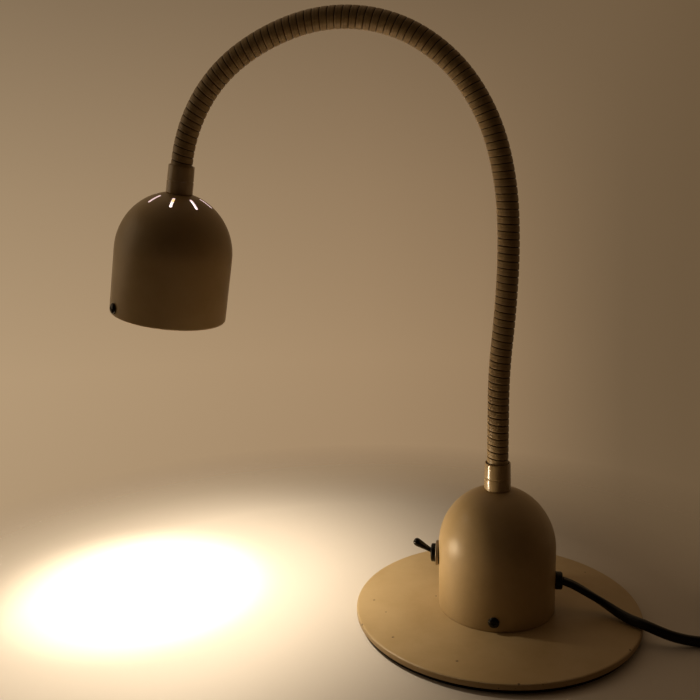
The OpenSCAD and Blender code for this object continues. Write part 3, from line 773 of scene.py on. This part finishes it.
# ---------------------------------------------------------------- screws with a cross recess
def screw(name, M, body, node_name=None):
    prof = [(0, -4.5), (1.4, -4.5), (1.45, -0.02), (3.4, -0.02), (3.85, 0.14), (3.98, 0.48), (3.92, 0.9), (3.63, 1.4),
            (3.1, 1.83), (2.4, 2.13), (1.52, 2.32), (0.76, 2.385), (0, 2.4)]
    o = lathe(name, prof, [SCREW], 48, M, closed=False, angle=40)
    cs = []
    for (w, l) in ((0.42, 1.9), (1.9, 0.42)):
        v = [(x * w * t, y * l * t, z) for z, t in ((1.0, 0.45), (3.3, 1.25)) for x, y in ((-1, -1), (1, -1), (1, 1), (-1, 1))]
        f = [(3, 2, 1, 0), (4, 5, 6, 7)] + [(k, (k + 1) % 4, 4 + (k + 1) % 4, 4 + k) for k in range(4)]
        c = mesh_object("cutter", v, f, [SCREW], matrix=M)
        outward(c)
        cs.append(c)
    cut(o, cs)
    smooth(o, 40)
    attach(o, body)
    if node_name:
        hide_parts(node_name)
    return o


for i, a in enumerate((-92, 88)):
    screw("screw_base_%d" % i, R("Z", a) @ T(dome_r + 0.02, 0, foot_top + 7.7) @ R("Y", 90), "base", "dome_screws" if i == 0 else None)
for i, a in enumerate((-134, 46)):
    screw("screw_shade_%d" % i, SHADE @ R("Z", a) @ T(dome_r + 0.02, 0, 5.6) @ R("Y", 90), "shade", "shade_screws" if i == 0 else None)

# ---------------------------------------------------------------- toggle switch
SW = T(-dome_r, 0, 46) @ R("Y", -90)
plate = lathe("switch_washer", rounded([(5.6, 0.1, 0), (9.0, 0.1, 0.3), (9.08, 2.05, 0.35), (5.6, 2.05, 0)]), [NICKEL], 96, SW)
nutp = rounded([(5.5, 2.2, 0), (6.3, 2.2, 0.3), (6.68, 2.5, 0.2), (6.68, 5.1, 0.4), (6.2, 5.58, 0.3), (5.5, 5.58, 0.2)])
nut = lathe("switch_ring_nut", nutp, [BLACK_GLOSS], 96, SW)
# fine knurl on the ring nut's wall
bm = bmesh.new()
bm.from_mesh(nut.data)
inv = (SW.inverted())
for v in bm.verts:
    q = inv @ (v.co / MM)
    rad = math.hypot(q.x, q.y)
    if rad > 6.5 and 2.6 < q.z < 5.2:
        a = math.atan2(q.y, q.x)
        k = 1 - 0.012 * (0.5 + 0.5 * math.cos(48 * a))
        v.co = (SW @ Vector((q.x * k, q.y * k, q.z))) * MM
bm.to_mesh(nut.data)
bm.free()
smooth(nut, 40)
LV = SW @ T(0, 0, 3.0) @ R("Y", 30)
lv = [(0, -4.6), (1.1, -4.6), (1.1, -2.2)]
lv += [(2.95 * math.cos(math.radians(a)), 2.95 * math.sin(math.radians(a))) for a in range(-44, 48, 8)]
lv += [(1.62, 3.3), (1.66, 4.2), (1.85, 6.2), (2.14, 8.4), (2.48, 10.8), (2.78, 12.8), (2.93, 14.0), (2.97, 14.9),
       (2.88, 15.8), (2.60, 16.6), (2.14, 17.25), (1.5, 17.7), (0.8, 17.93), (0, 18.0)]
lever = lathe("switch_bat", lv, [BLACK_GLOSS], 64, LV, closed=False, angle=60)
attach(lever, "lever")
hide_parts("switch_lever")
for o, n, s in ((plate, "switch_plate", "plate_nickel"), (nut, "switch_nut", "lever_black")):
    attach(o, "base")
    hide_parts(n)

# ---------------------------------------------------------------- lead entry bush
GL = T(dome_r, 0, 29.2) @ R("Y", 90)
gland = lathe("entry_bush", rounded([(3.76, -17, 0), (4.3, -17, 0), (5.0, -6, 0), (5.15, -0.1, 0), (5.2, 0.03, 0), (6.35, 0.03, 0.3),
                                     (6.48, 0.5, 0.2), (6.48, 3.5, 0.7), (6.2, 4.6, 0.6), (5.4, 5.08, 0.45), (4.1, 5.08, 0.3),
                                     (3.76, 4.5, 0.2)]), [BLACK_SATIN], 72, GL)
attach(gland, "base")
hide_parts("cord_gland")

# ---------------------------------------------------------------- materials on the carried-over CAD nodes
KEEP = {"dome_bracket": ZINC, "transformer_core": CORE, "transformer_winding": TAPE, "transformer_frame": ZINC,
        "transformer_screws": ZINC, "terminal_block": TERMINAL, "terminal_screws": BRASS, "base_wiring": WIRE,
        "switch_body": BLACK_SATIN, "switch_terminals": BRASS, "switch_bushing": BUSHING, "lever_pin": ZINC,
        "gland_nut": BLACK_SATIN, "nipple_lower": ZINC, "washer_lower": ZINC, "nut_lower": BRASS,
        "nipple_upper": ZINC, "washer_upper": ZINC, "nut_upper": BRASS, "lamp_carrier": CARRIER,
        "bulb_retainer": ZINC, "bulb_reflector": GLOW_BOWL, "bulb_capsule": GLOW_CAPSULE, "bulb_pins": CHROME,
        "bulb_socket": CERAMIC, "socket_strap": ZINC, "strap_rivets": ZINC, "socket_screw": ZINC,
        "shade_wiring": WIRE_WHITE, "plug_pins": CHROME}
for n, m in KEEP.items():
    o = NODE[n]
    if not o.data.materials:
        o.data.materials.append(m)
    for i in range(len(o.data.materials)):
        o.data.materials[i] = m


# ---------------------------------------------------------------- floor, world and lights
fm, nt, p = material("floor_pale")
tc = nt.nodes.new("ShaderNodeTexCoord").outputs["Object"]
grain = noise(nt, 3.0, 3.0, 0.5, tc)
pale = ramp(nt, grain, [(0.3, (0.70, 0.655, 0.60)), (0.7, (0.74, 0.695, 0.64))])
# the light the table throws back on the lamp is kept lower than what the camera sees
soft = ramp(nt, grain, [(0.3, (0.44, 0.37, 0.30)), (0.7, (0.47, 0.395, 0.32))])
eye = nt.nodes.new("ShaderNodeLightPath").outputs["Is Camera Ray"]
nt.links.new(mix(nt, eye, soft, pale), p.inputs["Base Color"])
p.inputs["Roughness"].default_value = 0.55
far = nt.nodes.new("ShaderNodeVectorMath")
far.operation = "DISTANCE"
nt.links.new(tc, far.inputs[0])
far.inputs[1].default_value = (-0.10, -0.05, 0.0)
trans = nt.nodes.new("ShaderNodeBsdfTransparent")
ms = nt.nodes.new("ShaderNodeMixShader")
nt.links.new(ramp(nt, far.outputs["Value"], [(0.26, 0.0), (0.34, 0.50), (0.46, 1.0)]), ms.inputs[0])
nt.links.new(p.outputs[0], ms.inputs[1])
nt.links.new(trans.outputs[0], ms.inputs[2])
nt.links.new(ms.outputs[0], [n for n in nt.nodes if n.type == "OUTPUT_MATERIAL"][0].inputs[0])
N = 96
floor = mesh_object("floor", [(0, 0, -0.05)] + [(2600 * math.cos(2 * PI * k / N), 2600 * math.sin(2 * PI * k / N), -0.05) for k in range(N)],
                    [(0, 1 + k, 1 + (k + 1) % N) for k in range(N)], [fm])

w = bpy.data.worlds.new("studio")
w.use_nodes = True
bg = w.node_tree.nodes["Background"]
wt = w.node_tree
wtc = wt.nodes.new("ShaderNodeTexCoord")
wsep = wt.nodes.new("ShaderNodeSeparateXYZ")
wt.links.new(wtc.outputs["Generated"], wsep.inputs[0])


def half(axis):
    return math_node(wt, "ADD", math_node(wt, "MULTIPLY", wsep.outputs[axis], 0.5), 0.5)


# brighter towards the left, where the pool of light is, and dim behind the camera
across = ramp(wt, half("X"), [(0.0, (0.43, 0.30, 0.165)), (0.22, (0.46, 0.322, 0.188)), (0.42, (0.38, 0.254, 0.142)),
                              (0.60, (0.245, 0.158, 0.082)), (1.0, (0.20, 0.130, 0.065))])
# what a camera sees is the pale wall all round; only the light it gives is uneven
seen = wt.nodes.new("ShaderNodeLightPath").outputs["Is Camera Ray"]
front = math_node(wt, "MAXIMUM", ramp(wt, half("Y"), [(0.50, 0.0), (0.72, 1.0)]), seen)
wt.links.new(mix(wt, front, (0.42, 0.23, 0.11), across), bg.inputs["Color"])
rise = ramp(wt, half("Z"), [(0.30, 0.95), (0.40, 1.0), (0.50, 0.80), (0.55, 0.67), (0.60, 0.54), (1.0, 0.70)])
even = ramp(wt, half("X"), [(0.49, 0.0), (0.57, 1.0)])
rise = math_node(wt, "ADD", math_node(wt, "MULTIPLY", rise, math_node(wt, "SUBTRACT", 1.0, even)),
                 math_node(wt, "MULTIPLY", even, 0.61))
depth = ramp(wt, half("Y"), [(0.0, 0.035), (0.45, 0.06), (0.74, 1.0), (1.0, 1.0)])
wt.links.new(math_node(wt, "MULTIPLY", rise, math_node(wt, "MAXIMUM", depth, seen)), bg.inputs["Strength"])
bpy.context.scene.world = w


def area(name, at, to, size, power, colour):
    l = bpy.data.lights.new(name, "AREA")
    l.shape = "RECTANGLE"
    l.size, l.size_y = size
    l.energy = power
    l.color = colour
    o = bpy.data.objects.new(name, l)
    bpy.context.scene.collection.objects.link(o)
    o.location = at
    o.rotation_euler = (Vector(to) - Vector(at)).to_track_quat("-Z", "Y").to_euler()
    return o


area("key", (-1.15, -0.10, 0.55), (-0.05, 0, 0.10), (0.8, 0.8), 1.15, (1.0, 0.75, 0.48))
area("top", (-0.35, 0.15, 1.5), (-0.15, 0, 0.1), (1.2, 1.2), 0.35, (1.0, 0.76, 0.52))
area("fill", (0.5, -1.5, 0.6), (0, 0, 0.2), (1.2, 1.2), 0.07, (1.0, 0.66, 0.40))
# light thrown back by the bright pool on the table
glow_light = bpy.data.lights.new("bounce", "SPOT")
glow_light.energy = 1.15
glow_light.color = (1.0, 0.78, 0.50)
glow_light.spot_size = math.radians(36)
glow_light.spot_blend = 1.0
glow_light.shadow_soft_size = 0.025
bounce = bpy.data.objects.new("bounce", glow_light)
bpy.context.scene.collection.objects.link(bounce)
bounce.location = (-0.240, -0.030, 0.030)
bounce.rotation_euler = (Vector((-0.040, -0.004, 0.066)) - bounce.location).to_track_quat("-Z", "Y").to_euler()
bounce.visible_camera = False


# the lamp's own light, which rides with the shade: the beam and the dimmer spill round it
def lamp_light(name, energy, colour, size, blend, soft, z, aim):
    l = bpy.data.lights.new(name, "SPOT")
    l.energy = energy
    l.color = colour
    l.spot_size = math.radians(size)
    l.spot_blend = blend
    l.shadow_soft_size = soft
    o = bpy.data.objects.new(name, l)
    bpy.context.scene.collection.objects.link(o)
    at = (SHADE @ Vector((0, 0, z))) * MM
    o.matrix_world = Matrix.Translation(at) @ (Vector(aim) - at).to_track_quat("-Z", "Y").to_matrix().to_4x4()
    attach(o, "shade")
    return o


lamp_light("beam", 7.8, (1.0, 0.84, 0.60), 52, 1.0, 0.012, 24, (-0.283, 0.005, 0.0))
lamp_light("spill", 5.1, (1.0, 0.83, 0.61), 138, 1.0, 0.010, 19, (-0.285, 0.026, 0.0))

bpy.context.scene.view_settings.view_transform = "Standard"
